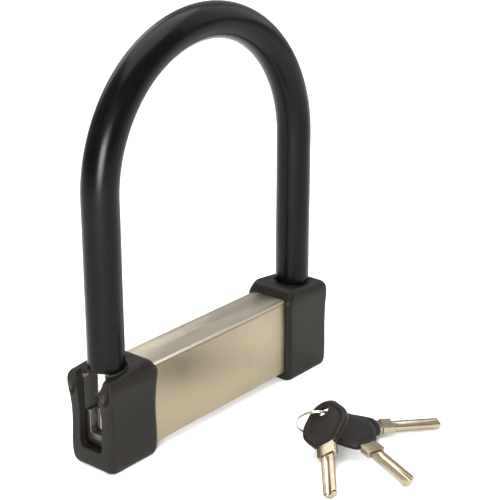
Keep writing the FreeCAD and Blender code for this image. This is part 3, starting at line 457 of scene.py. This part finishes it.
def shackle_length(low):
    """The middle line's length, with both legs ending at this height."""
    return 2 * (ARC_HEIGHT - low) + math.pi * LEG


# the radius of the sleeve's round lips, and how far its uneven outside lies inside its box on average
LIP = 0.45
SLEEVE_SHY = 0.08
LIP_ANGLES = [math.radians(angle) for angle in (30, 60, 90)]


def wavy(distance, angle_step, around):
    """How far a drawn sleeve stands off a true round, in millimetres."""
    angle = math.tau * angle_step / around
    slow = math.sin(distance * 0.045 + 2 * math.sin(angle)) * 0.05
    quick = math.sin(distance * 0.11 + 3 * angle) * 0.03
    return slow + quick - SLEEVE_SHY


def lip_rings(end, ahead, around):
    """Rings that turn from the sleeve's outside round one of its ends into its bore."""
    outside = SLEEVE - SLEEVE_SHY - LIP
    turn = [(math.sin(angle), outside + LIP * math.cos(angle)) for angle in LIP_ANGLES]
    turn += [(math.sin(angle), SLEEVE_BORE + LIP - LIP * math.cos(angle)) for angle in reversed(LIP_ANGLES)]
    return [shackle_ring(end + ahead * LIP * reach, sleeve_low.z, radius, around) for reach, radius in turn]


def sleeve():
    """Vinyl tube over the whole bar, slightly uneven outside, with rounded lips at both ends."""
    low, around, stations = sleeve_low.z, 72, 150
    length = shackle_length(low)
    distances = [LIP + (length - 2 * LIP) * step / stations for step in range(stations + 1)]
    outside, inside = [], []
    for distance in distances:
        place = along_shackle(distance, low)[0]
        ways = [spot - place for spot in shackle_ring(distance, low, 1, around)]
        outside.append([place + way * (SLEEVE + wavy(distance, number, around))
                        for number, way in enumerate(ways)])
        inside.append([place + way * SLEEVE_BORE for way in ways])
    rings = outside + lip_rings(length - LIP, 1, around) + inside[::-1] + lip_rings(LIP, -1, around)[::-1]
    stand_in("vinyl_sleeve", as_mesh("vinyl_sleeve", *skin(rings, wrap=True)), "shackle_sleeve", sharp=60)


def shackle():
    """Hardened bar. Each foot is turned, grooved and bevelled, with small radii in its corners."""
    low, around, bends = bar_low.z, 64, 90
    # distance from the foot's end and the radius there
    tip = [(0, 2.2), (0, 4.1), (0.12, 4.4), (1.6, 5.85), (1.85, 6), (17.7, 6)]
    groove = [(17.9, 5.95), (18.2, 5.7), (18.2, 4.8), (18.4, 4.5), (18.7, 4.4), (21.2, 4.4), (21.45, 4.5),
              (21.6, 4.8), (21.6, 6.6), (21.75, 6.9)]
    neck = [(22, 7), (37.6, 7), (38, 7.1), (38.4, 7.5), (38.9, BAR_RADIUS)]
    foot = tip + groove + neck
    length = shackle_length(low)
    start, end = ARC_HEIGHT - low, length - (ARC_HEIGHT - low)
    stations = foot + [(start + (end - start) * step / bends, BAR_RADIUS) for step in range(bends + 1)]
    stations += [(length - distance, radius) for distance, radius in reversed(foot)]
    rings = [shackle_ring(distance, low, radius, around) for distance, radius in stations]
    stand_in("hardened_shackle", as_mesh("hardened_shackle", *skin(rings)), "shackle_bar", sharp=28)


# ---------------------------------------------------------------- crossbar

def through_floor(x, radius, steps=48):
    """A round cut through the tube's lower wall."""
    return prism(disc((x, 0), radius, steps), -CLEAR, TUBE_WALL + 0.6 * CLEAR)


def end_cuts(side):
    """At one end of the tube: the round-ended notch for a leg, the end screw's hole and a countersink."""
    tall, far = tube_high.z, tube_high.x + 2 * CLEAR
    notch = outline([
        (far, -NOTCH_HALF),
        (far, NOTCH_HALF),
        (LEG, NOTCH_HALF),
        (LEG, -NOTCH_HALF, LEG - NOTCH_HALF, 0),
    ], 24)
    sink = [[(x, y, z) for x, y in disc((CHASSIS_SCREW_PLACE * side, 0), radius)]
            for z, radius in ((-0.05, CHASSIS_SCREW_HEAD), (1.9, CHASSIS_SCREW_SHANK),
                              (TUBE_WALL + 0.6 * CLEAR, CHASSIS_SCREW_SHANK))]
    return [
        prism([(x * side, y) for x, y in notch], tall - TUBE_WALL - 0.6 * CLEAR, tall + CLEAR),
        through_floor(END_SCREW_PLACE * side, END_SCREW_HOLE),
        skin(sink),
    ]


def crossbar_tube():
    """Rectangular tube with true round corners, its notches and holes, and eased edges."""
    half_x, half_y, tall = tube_high
    outside = rounded_box((-half_y, 0), (half_y, tall), TUBE_CORNER, 12)
    inside = rounded_box((TUBE_WALL - half_y, TUBE_WALL), (half_y - TUBE_WALL, tall - TUBE_WALL), 0.36, 12)
    far = half_x + 2 * CLEAR
    cutters = [prism(inside, -far, far, "X"), *end_cuts(-1), *end_cuts(1)]
    cutters += [through_floor(0, BEZEL_HOLE, 72), through_floor(RIVET_PLACE, RIVET_HOLE)]
    mesh = as_mesh("crossbar", *prism(outside, -half_x, half_x, "X"))
    stand_in("crossbar", bevelled(carve(mesh, cutters), 0.18), "housing_tube", sharp=32)


# height and how far the cap's sides lie inside its box there: drawn in at the waist, round above and below
SIDES = [
    (-4.9, 3.9), (-4.5, 2.7), (-4, 2.1), (-3, 1.6), (-1.5, 1.2), (0.5, 0.95), (4, 0.8), (10, 0.8), (18, 1),
    (25, 1.1), (30, 1), (35, 0.75), (40, 0.35), (43.5, 0.05), (45, 0), (47, 0.1), (49, 0.35), (51, 0.9),
    (52.5, 1.5), (53.5, 2.2), (54.3, 3), (54.8, 4.2),
]
# height and how far the inner end's shoulder lies inside the box there
SHOULDER = [(47.2, 0), (48.8, 0.9), (50.2, 2), (52, 3.1), (53.4, 4.3), (54.3, 5.8), (54.8, 8)]
# place along the bar and how much lower the top is there than at its highest
TOP_DROP = [(65, 0), (72, 0.9), (80, 2.5), (87, 3.2), (92, 2.8), (96.6, 2.2)]
# below this height a cap's sides may be drawn in more or less than the table says
FLARE = 43
# below this height the inner end follows the sides, and above it the shoulder
SHOULDER_LOW = 46
# how much of the sides' inset the front, the back and the inner end have
FRONT_SHARE = 0.8
OUTER_CORNER, INNER_CORNER = 2.4, 3.6
# where the top begins to bend down, and how deep its hollow is from front to back
DISH_LOW, HOLLOW = 42, 0.9
# a lens: its centre past the cap's end, to each side of the middle and up, and its half axes
LENS_CENTRE = (1.3, 12.5, 45)
LENS_SIZE = (4.6, 4.1, 8.2)


def between(table, value):
    """Straight-line reading of a table of (value, result) pairs."""
    for (x0, y0), (x1, y1) in zip(table, table[1:]):
        if value <= x1:
            return y0 + (y1 - y0) * max(0, value - x0) / (x1 - x0)
    return table[-1][1]


def cap_section(z, pinch):
    """A cap's outline at one height. The sides below the flare are drawn in by that share of the table."""
    inset = between(SIDES, z) * (pinch if z < FLARE else 1)
    shoulder = between(SHOULDER, z) if z > SHOULDER_LOW else FRONT_SHARE * inset
    half = cap_high.y - FRONT_SHARE * inset
    return rounded_box((cap_low.x + shoulder, -half), (cap_high.x - inset, half), OUTER_CORNER + 0.4 * inset,
                       left_radius=INNER_CORNER)


def dished(x, y, z):
    """A point of the cap with the top's slope towards the outer end, and its hollow from front to back."""
    lift = max(0, (z - DISH_LOW) / (cap_high.z - DISH_LOW)) ** 1.5
    hollow = HOLLOW * (1 - min(1, (y / cap_high.y) ** 2))
    return x, y, z - lift * (between(TOP_DROP, x) + hollow)


def cap_hull(pinch):
    """The outside of the right cap: an hourglass box with a round shoulder and a dished, sloping top."""
    low, high, levels = cap_low.z, cap_high.z, 60
    rings = []
    for level in range(levels + 1):
        z = low + (high - low) * (0.5 - 0.5 * math.cos(math.pi * level / levels))
        rings.append([dished(x, y, z) for x, y in cap_section(z, pinch)])
    rim = cap_section(high, pinch)
    centre = (sum(x for x, y in rim) / len(rim), 0)
    for share in (0.85, 0.7, 0.55, 0.4, 0.25, 0.1, 0.02):
        rings.append([dished(centre[0] + (x - centre[0]) * share, y * share, high) for x, y in rim])
    return skin(rings)


def ball(centre, radii):
    """An egg shape with its three half axes along X, Y and Z."""
    rings, steps = [], 24
    for level in range(1, steps):
        angle = math.pi * level / steps
        height, reach = centre[2] - radii[2] * math.cos(angle), math.sin(angle)
        rings.append([(centre[0] + radii[0] * reach * x, centre[1] + radii[1] * reach * y, height)
                      for x, y in disc((0, 0), 1, 2 * steps)])
    return skin(rings)


def end_cap(name, node, twin):
    """Moulded cap with the tube's seat, the leg's hole and the screw's recess. The twin is slotted as well."""
    half, tall = tube_high.y, tube_high.z
    seat = rounded_box((-half - SEAT_GAP, -SEAT_GAP), (half + SEAT_GAP, tall + SEAT_GAP), TUBE_CORNER)
    # height and radius of the leg's hole, wider at its mouth
    lead_in = ((tall - 0.6, LEG_HOLE), (cap_high.z - 3.4, LEG_HOLE), (cap_high.z + CLEAR, LEG_HOLE + 1))
    solids = [
        cap_hull(pinch=1.3 if twin else 0.5),
        prism(seat, cap_low.x - 3 * CLEAR, END_WALL_START, "X"),
        skin([[(x, y, z) for x, y in disc((LEG, 0), radius, 72)] for z, radius in lead_in]),
        prism(disc((END_SCREW_PLACE, 0), END_SCREW_HOLE), cap_low.z - CLEAR, CLEAR),
        prism(disc((END_SCREW_PLACE, 0), END_SCREW_RECESS), cap_low.z - CLEAR, cap_low.z + RECESS_DEEP),
    ]
    if twin:
        solids += end_slot()
        solids = [(half_turned(verts), faces) for verts, faces in solids]
    cut = carve(as_mesh(name, *solids[0]), solids[1:])
    voxel = 0.42
    stand_in(name, moulded(cut, voxel, 5), node, sharp=70)


def end_slot():
    """The slot through the end wall, wider at its top, and a scooped lens beside each of its edges."""
    wide, bend = SLOT_HALF + SLOT_FLARE, SLOT_CORNER * (1 - math.sqrt(0.5))
    edge = outline([
        (SLOT_HALF - SLOT_CORNER, SLOT_LOW),
        (SLOT_HALF, SLOT_LOW + SLOT_CORNER, SLOT_HALF - bend, SLOT_LOW + bend),
        (SLOT_HALF, SLOT_FLARE_LOW),
        (wide, SLOT_FLARE_HIGH),
        (wide, cap_high.z + 2 * CLEAR),
    ])
    slot = edge + [(-y, z) for y, z in reversed(edge)]
    past, aside, up = LENS_CENTRE
    lenses = [ball((cap_high.x + past, aside * side, up), LENS_SIZE) for side in (-1, 1)]
    return [prism(slot, END_WALL_START - CLEAR, cap_high.x + 2 * CLEAR, "X"), *lenses]


# how wide the broken edges are, in millimetres, and the pieces that have them
EASED = {
    0.35: ("left_socket_block", "right_socket_block"),
    0.3: ("cover_rivet", "lock_chassis"),
    0.25: ("keyhole_cover", "end_screws", "mechanism_cover"),
    0.2: ("left_fork_bolt", "right_fork_bolt"),
    0.15: ("keyhole_bezel", "cover_screws", "cylinder_housing"),
    0.12: ("left_leg_guide", "right_leg_guide"),
    0.1: ("chassis_screws", "cylinder_plug"),
    0.08: ("drill_guard_disc", "drive_pinion", "plug_circlip"),
}


def eased(node, width_mm):
    """A small metal or plastic part with its edges broken."""
    stand_in(f"{node}_finish", bevelled(nodes[node].data.copy(), width_mm), node)


# ---------------------------------------------------------------- keys

RING_RADIUS, RING_YAW, RING_LEAN = 12, -50, 60
# each key's place round the ring, the way it points and how far it is rolled, in degrees
KEYS = {"front_key": (74, -140, 35), "middle_key": (9, -106, 0), "back_key": (-35, -40, 0)}
HEAD_LONG, HEAD_BACK, HEAD_HALF, HEAD_THICK = 26.5, 7, 14.5, 4
COLLAR_LONG, SHAFT_RADIUS, SHAFT_LONG = 8, 3.9, 28
HEAD_HOLE = 3.3
CHANNEL_HALF = 1.25


def ring_frame():
    """The split ring's own frame: it leans on the floor, its axis along local Z."""
    low, high = box_mm("split_ring")
    turn = Euler((math.radians(180 - RING_LEAN), 0, math.radians(RING_YAW)), "XYZ").to_matrix().to_4x4()
    return Matrix.Translation((low + high) / 2) @ turn


def key_frame(ring_angle, yaw, roll):
    """A key's own frame: its origin is the ring hole, and its shaft points along local X to the floor."""
    angle = math.radians(ring_angle)
    hole = ring_frame() @ Vector((RING_RADIUS * math.cos(angle), RING_RADIUS * math.sin(angle), 0))
    pitch = math.asin((hole.z - FLOOR - SHAFT_RADIUS) / (HEAD_LONG + COLLAR_LONG + SHAFT_LONG))
    turn = Euler((math.radians(roll), pitch, math.radians(yaw)), "XYZ").to_matrix().to_4x4()
    return Matrix.Translation(hole) @ turn


def placed(matrix, verts):
    return [matrix @ Vector(spot) for spot in verts]


def split_ring():
    """Two coils of springy wire that lie on each other, with a small crank where they part."""
    wire, turns, per_turn, around = 0.42, 2, 96, 12
    taper = {0: 0.55, 1: 0.85}
    steps = turns * per_turn
    rings = []
    for step in range(steps + 1):
        angle = math.tau * step / per_turn
        lift = max(-1, min(1, (step / steps - 0.5) * 14)) * wire * 0.98
        outward = Vector((math.cos(angle), math.sin(angle), 0))
        centre = outward * RING_RADIUS + Vector((0, 0, lift))
        size = wire * taper.get(min(step, steps - step), 1)
        rings.append([centre + outward * y + Vector((0, 0, z)) for y, z in disc((0, 0), size, around)])
    verts, faces = skin(rings)
    stand_in("key_ring", as_mesh("key_ring", placed(ring_frame(), verts), faces), "split_ring", sharp=50)


def inset(points, amount):
    """A flat closed outline moved inwards along its own normals."""
    moved = []
    for number, (x, y) in enumerate(points):
        (ax, ay), (bx, by) = points[number - 1], points[(number + 1) % len(points)]
        along = Vector((bx - ax, by - ay)).normalized()
        moved.append((x - along.y * amount, y + along.x * amount))
    return moved


def evenly(points, count):
    """A closed flat outline drawn again with this many points, all the same distance apart."""
    lengths = [math.dist(point, points[number - 1]) for number, point in enumerate(points)]
    step, spots, walked, number = sum(lengths) / count, [], 0, 0
    for place in range(count):
        while walked + lengths[number] < place * step:
            walked += lengths[number]
            number += 1
        share = (place * step - walked) / lengths[number]
        spots.append(tuple(Vector(points[number - 1]).lerp(Vector(points[number]), share)))
    return spots


def softened(points, rounds):
    """A closed flat outline with its corners rubbed round."""
    for _ in range(rounds):
        after = points[1:] + points[:1]
        before = points[-1:] + points[:-1]
        points = [((ax + 2 * x + bx) / 4, (ay + 2 * y + by) / 4)
                  for (ax, ay), (x, y), (bx, by) in zip(before, points, after)]
    return points


def key_head_outline():
    """A rounded shield: narrow at the ring, wide past its middle, cut off towards the blade."""
    long, half, back = HEAD_LONG, HEAD_HALF, HEAD_BACK
    return outline([
        (long * 0.03, -half * 0.72, -back, 0),
        (long * 0.40, -half, long * 0.18, -half * 0.91),
        (long * 0.62, -half * 0.9, long * 0.52, -half * 0.98),
        (long - 1, -half * 0.5),
        (long - 1, half * 0.5, long, 0),
        (long * 0.62, half * 0.9),
        (long * 0.40, half, long * 0.52, half * 0.98),
        (long * 0.03, half * 0.72, long * 0.18, half * 0.91),
    ], 12)


def key_head(label, matrix):
    """Moulded head with a raised rim round both faces and a rounded ring hole."""
    edge = softened(evenly(key_head_outline(), 120), 9)
    half = HEAD_THICK / 2
    face = half - 0.55
    # how far in from the edge, and how high: the edge's round, the rim, and its inner slope
    rim = [(0, 0.55), (0.08, 1.05), (0.3, 1.5), (0.75, 1.85), (1.3, half), (2.2, half), (2.7, half - 0.12),
           (3.1, half - 0.42), (3.5, face)]
    # radius and height: a low bead round the hole, and the hole's edge
    bead = [(4.6, face), (4.2, face + 0.25), (3.8, face + 0.2), (3.45, face - 0.1),
            (HEAD_HOLE, face - 0.5)]
    upper = [[(x, y, z) for x, y in inset(edge, amount)] for amount, z in rim]
    last = [Vector(spot[:2]) for spot in upper[-1]]
    ways = [point.normalized() for point in last]
    for share in (0.25, 0.5, 0.75):
        flat = [point.lerp(way * bead[0][0], share) for point, way in zip(last, ways)]
        upper.append([(point.x, point.y, face) for point in flat])
    for radius, z in bead:
        upper.append([(way.x * radius, way.y * radius, z) for way in ways])
    lower = [[(x, y, -z) for x, y, z in ring] for ring in reversed(upper)]
    verts, faces = skin(upper + lower, wrap=True)
    mesh = as_mesh(f"{label}_head", placed(matrix, verts), faces)
    stand_in(f"{label}_grip", mesh, f"{label}_head", sharp=50)


def half_round(radius, flat, deep):
    """Section of a key's shaft: half round below, with a milled channel along its flat top."""
    reach = math.sqrt(radius ** 2 - flat ** 2)
    start, steps = math.asin(flat / radius), 22
    angles = [start - (math.pi + 2 * start) * step / steps for step in range(steps + 1)]
    bottom = [(radius * math.cos(a), radius * math.sin(a)) for a in angles]
    bottom[0] = (reach - 0.12, flat - 0.03)
    bottom[-1] = (0.12 - reach, flat - 0.03)
    # from the channel's wall out to the shaft's edge
    side = [
        (CHANNEL_HALF * 0.55, flat - deep * 0.85),
        (CHANNEL_HALF, flat - 0.15),
        (CHANNEL_HALF + 0.25, flat),
        (reach - 0.4, flat),
    ]
    return bottom + [(-y, z) for y, z in reversed(side)] + [(0, flat - deep)] + side


def key_blade(label, matrix):
    """Nickel silver blade: a stepped collar, then a half-round shaft with a bevelled tip."""
    collar_start, collar_end = HEAD_LONG, HEAD_LONG + COLLAR_LONG
    shaft_end = collar_end + SHAFT_LONG
    # place along the blade, half width and half thickness
    collar_steps = [
        (collar_start - 1.4, 4.9, 1.5),
        (collar_start + 0.8, 4.9, 1.5),
        (collar_start + 0.8, 5.2, 1.7),
        (collar_start + 1.1, 5.6, 1.9),
        (collar_end - 0.4, 5.6, 1.9),
        (collar_end, 5.2, 1.6),
    ]
    # place along the blade, how much thinner it is, height of its flat top and depth of the channel there
    shaft_steps = [
        (collar_end - 0.6, 0, 1.1, 0.1),
        (collar_end + 1.5, 0, 1.1, 0.1),
        (collar_end + 4, 0, 1.1, 0.95),
        (shaft_end - 0.9, 0, 1.1, 0.95),
        (shaft_end - 0.15, 0.6, 0.7, 0.75),
        (shaft_end, 0.9, 0.5, 0.6),
    ]
    collar = skin([[(x, y, z) for y, z in rounded_box((-wide, -thick), (wide, thick), 0.35, 3)]
                   for x, wide, thick in collar_steps])
    shaft = skin([[(x, y, z) for y, z in half_round(SHAFT_RADIUS - less, flat, deep)]
                  for x, less, flat, deep in shaft_steps])
    verts = collar[0] + shaft[0]
    faces = collar[1] + [tuple(corner + len(collar[0]) for corner in face) for face in shaft[1]]
    mesh = as_mesh(f"{label}_blade", placed(matrix, verts), faces)
    stand_in(f"{label}_shaft", mesh, f"{label}_blade", sharp=24)


# ---------------------------------------------------------------- build

sleeve()
shackle()
crossbar_tube()
end_cap("left_cap", "left_end_cap", twin=True)
end_cap("right_cap", "right_end_cap", twin=False)
for width, names in EASED.items():
    for node in names:
        eased(node, width)
split_ring()
for label, placing in KEYS.items():
    matrix = key_frame(*placing)
    key_head(label, matrix)
    key_blade(label, matrix)


# ---------------------------------------------------------------- camera, light and floor

TARGET = Vector((40.2, 0, 83.8)) * MM
AZIMUTH, ELEVATION, DISTANCE = math.radians(-50.43), math.radians(20.89), 835.3 * MM
SENSOR_WIDTH, FOCAL_LENGTH = 36, 101.3
# each light's place and size in metres, and its power in watts
LIGHTS = {
    "top_light": ((0.1, 0.1, 1.6), 1.6, 40),
    "key_light": ((-1.2, -0.3, 1.1), 0.8, 1),
    "edge_light": ((1.15, -0.55, 0.97), 1.4, 10),
    "flash": ((-0.84, -0.60, 0.30), 0.40, 25),
    "back_light": ((0.3, 1.4, 1.0), 1.0, 8),
}


def linked(name, data):
    thing = bpy.data.objects.new(name, data)
    bpy.context.scene.collection.objects.link(thing)
    return thing


def camera():
    """A view of the lock from its front left, a little above."""
    back = Vector((math.sin(AZIMUTH) * math.cos(ELEVATION), -math.cos(AZIMUTH) * math.cos(ELEVATION),
                   math.sin(ELEVATION)))
    eye = linked("camera", bpy.data.cameras.new("camera"))
    eye.data.sensor_width = SENSOR_WIDTH
    eye.data.lens = FOCAL_LENGTH
    eye.location = TARGET + back * DISTANCE
    eye.rotation_mode = "QUATERNION"
    eye.rotation_quaternion = (-back).to_track_quat("-Z", "Y")
    bpy.context.scene.camera = eye


def floor():
    """A pale sheet, level with the caps' undersides."""
    mesh = bpy.data.meshes.new("floor")
    low, far = FLOOR * MM, 6
    corners = [(-far, -far, low), (far, -far, low), (far, far, low), (-far, far, low)]
    mesh.from_pydata(corners, [], [(0, 1, 2, 3)])
    paper = Shader("paper")
    paper.set(Base_Color=colour(0.93, 0.93, 0.925), Roughness=0.95, Specular_IOR_Level=0.1)
    mesh.materials.append(paper.material)
    linked("floor", mesh)


def surroundings():
    """Studio walls: pale behind and above the lock, darker on the camera's side."""
    world = bpy.data.worlds.new("studio")
    bpy.context.scene.world = world
    world.use_nodes = True
    tree = world.node_tree
    way = tree.nodes.new("ShaderNodeTexCoord").outputs["Generated"]
    dot = tree.nodes.new("ShaderNodeVectorMath")
    dot.operation = "DOT_PRODUCT"
    tree.links.new(way, dot.inputs[0])
    dot.inputs[1].default_value = (-math.sin(AZIMUTH), math.cos(AZIMUTH), 0.0)
    ramp = tree.nodes.new("ShaderNodeMapRange")
    for socket, number in (("From Min", -0.5), ("From Max", 0.6), ("To Min", 0.28), ("To Max", 0.75)):
        ramp.inputs[socket].default_value = number
    tree.links.new(dot.outputs["Value"], ramp.inputs["Value"])
    back = tree.nodes["Background"]
    back.inputs["Color"].default_value = (1, 0.995, 0.985, 1)
    tree.links.new(ramp.outputs["Result"], back.inputs["Strength"])


def lights():
    """Square lamps, all turned towards the lock."""
    for name, (spot, size, power) in LIGHTS.items():
        lamp = bpy.data.lights.new(name, "AREA")
        lamp.size = size
        lamp.energy = power
        light = linked(name, lamp)
        light.location = spot
        light.rotation_mode = "QUATERNION"
        light.rotation_quaternion = (Vector(spot) - TARGET).to_track_quat("Z", "Y")


bpy.context.scene.view_settings.view_transform = "Standard"
camera()
floor()
surroundings()
lights()
